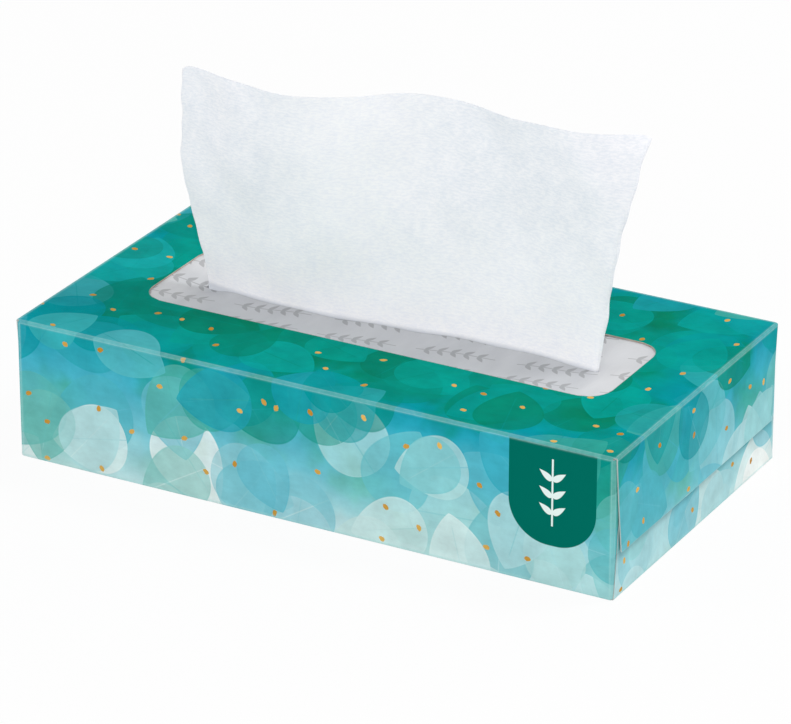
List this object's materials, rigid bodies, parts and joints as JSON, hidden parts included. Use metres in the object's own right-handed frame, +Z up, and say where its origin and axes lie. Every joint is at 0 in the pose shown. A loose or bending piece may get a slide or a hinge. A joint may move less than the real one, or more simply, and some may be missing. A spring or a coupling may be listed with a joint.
{
  "type": "tissue box",
  "caption": "Flat folded carton of facial tissues with a slit film window in its top, a stack of interfolded sheets inside and a sheet standing in the slit.",
  "frame": {"origin": "centre of the carton's base, on the surface that it stands on", "axes": "+X along the carton to its right end, -Y out of its front panel, +Z up out of the slit"},
  "size_m": [0.228, 0.123, 0.1305],
  "materials": {
    "printed_board": "satin",
    "film": "satin",
    "stacked_tissue": "matte",
    "tissue": "matte"
  },
  "bodies": {
    "root": {"carton": "printed_board", "window_film": "film", "tissue_stack": "stacked_tissue", "pop_up_tissue": "tissue"}
  },
  "joints": []
}
